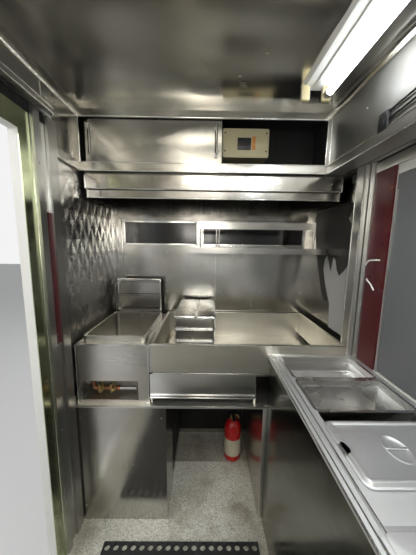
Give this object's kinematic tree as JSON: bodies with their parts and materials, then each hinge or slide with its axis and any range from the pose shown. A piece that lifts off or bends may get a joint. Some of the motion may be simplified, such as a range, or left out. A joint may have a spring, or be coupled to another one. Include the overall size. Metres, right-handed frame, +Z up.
{
  "type": "food cart, a one-axle kitchen trailer",
  "caption": "Small towed food cart: an enclosed stainless kitchen with fryer, griddle, hood, steam counter and cabinets on a one-axle drawbar chassis.",
  "frame": {"origin": "on the ground, under the centre of the outer box", "axes": "+X right side with the serving hatch, +Y forward to the drawbar, +Z up"},
  "size_m": [1.385, 3.08, 2.75],
  "materials": {
    "white_body": "smooth white enamel",
    "speckled_floor": "grey speckled sheet floor",
    "mirror_steel": "bright wavy ceiling sheet",
    "aluminium_trim": "extruded, satin",
    "stainless": "brushed stainless sheet",
    "quilted_steel": "diamond quilted stainless sheet",
    "pan_steel": "bright deep-drawn steel",
    "maroon_panel": "dark red enamel",
    "jamb_green": "grey green enamel",
    "grey_panel": "satin grey",
    "door_paint": "white enamel",
    "clear_glass": "clear",
    "copper_pipe": "aged gas pipe",
    "beige_plastic": "moulded",
    "lamp_white": "white",
    "lamp_tube": "lit",
    "extinguisher_red": "gloss red",
    "black_rubber": "pierced mat",
    "chassis_black": "black chassis paint",
    "zinc": "zinc plated",
    "locker_grey": "grey enamel",
    "lamp_red": "red lens",
    "tyre_black": "moulded tread",
    "rim_white": "white wheel paint"
  },
  "bodies": {
    "cart": {"end_wall": "white_body", "rear_wall": "white_body", "left_wall": "white_body", "right_wall": "white_body", "roof": "white_body", "floor_deck": "speckled_floor", "ceiling_liner": "mirror_steel", "corner_trims": "aluminium_trim", "posts": "aluminium_trim", "door_track": "aluminium_trim", "side_skirts": "aluminium_trim", "splash_panels": "stainless", "cooking_base": "stainless", "ledge": "stainless", "fryer_body": "stainless", "fryer_flue": "stainless", "griddle": "stainless", "steam_counter": "stainless", "upper_cabinet": "stainless", "soffit_right": "stainless", "exhaust_hood": "stainless", "exhaust_stack": "stainless", "back_shelf": "stainless", "shelf_rack": "stainless", "quilted_liner": "quilted_steel", "steam_pans": "pan_steel", "adapter_plate": "pan_steel", "round_pot": "pan_steel", "spare_pans": "pan_steel", "red_infills": "maroon_panel", "door_frame": "jamb_green", "rear_window_glass": "clear_glass", "valve_manifold": "copper_pipe", "control_box": "beige_plastic", "light_fixture": "lamp_white", "light_tube": "lamp_tube", "extinguisher": "extinguisher_red", "rubber_mat": "black_rubber", "chassis_frame": "chassis_black", "axle_beam": "chassis_black", "leaf_springs": "chassis_black", "coupler": "zinc", "jack_tube": "zinc", "gas_locker": "locker_grey", "tail_lights": "lamp_red"},
    "wheel_left": {"tyre_left": "tyre_black", "rim_left": "rim_white"},
    "wheel_right": {"tyre_right": "tyre_black", "rim_right": "rim_white"},
    "entrance_door": {"door_leaf": "door_paint", "door_glass": "clear_glass"},
    "hatch": {"serving_hatch": "grey_panel"},
    "drawer": {"drip_drawer": "stainless"},
    "lid": {"pan_lid": "pan_steel"},
    "sliding_door_front": {"cabinet_door_front": "stainless"},
    "sliding_door_back": {"cabinet_door_back": "stainless"},
    "locker_cover": {"locker_lid": "locker_grey"},
    "jack_inner": {"jack_leg": "zinc"},
    "leg_left": {"rear_leg_left": "zinc"},
    "leg_right": {"rear_leg_right": "zinc"}
  },
  "joints": [
    {"name": "wheel_left_spin", "type": "hinge", "parent": "cart", "child": "wheel_left", "pos_m": [-0.56, -0.43, 0.206], "axis": [1, 0, 0], "continuous": true},
    {"name": "wheel_right_spin", "type": "hinge", "parent": "cart", "child": "wheel_right", "pos_m": [0.56, -0.43, 0.206], "axis": [1, 0, 0], "continuous": true},
    {"name": "entrance_door_slide", "type": "slide", "parent": "cart", "child": "entrance_door", "axis": [0, 1, 0], "range_m": [0, 0.68]},
    {"name": "serving_hatch_hinge", "type": "hinge", "parent": "cart", "child": "hatch", "pos_m": [0.6835, -0.6825, 2.165], "axis": [0, -1, 0], "range_deg": [0, 90]},
    {"name": "drip_drawer_slide", "type": "slide", "parent": "cart", "child": "drawer", "axis": [0, -1, 0], "range_m": [0, 0.3]},
    {"name": "pan_lid_lift", "type": "slide", "parent": "cart", "child": "lid", "axis": [0, 0, 1], "range_m": [0, 0.25]},
    {"name": "cabinet_door_front_slide", "type": "slide", "parent": "cart", "child": "sliding_door_front", "axis": [1, 0, 0], "range_m": [-0.045, 0.485]},
    {"name": "cabinet_door_back_slide", "type": "slide", "parent": "cart", "child": "sliding_door_back", "axis": [1, 0, 0], "range_m": [-0.02, 0.52]},
    {"name": "locker_lid_hinge", "type": "hinge", "parent": "cart", "child": "locker_cover", "pos_m": [0, 0.686, 1.0418], "axis": [1, 0, 0], "range_deg": [0, 85]},
    {"name": "jack_slide", "type": "slide", "parent": "cart", "child": "jack_inner", "axis": [0, 0, 1], "range_m": [0, 0.12]},
    {"name": "rear_leg_left_slide", "type": "slide", "parent": "cart", "child": "leg_left", "axis": [0, 0, 1], "range_m": [0, 0.14]},
    {"name": "rear_leg_right_slide", "type": "slide", "parent": "cart", "child": "leg_right", "axis": [0, 0, 1], "range_m": [0, 0.14]}
  ]
}
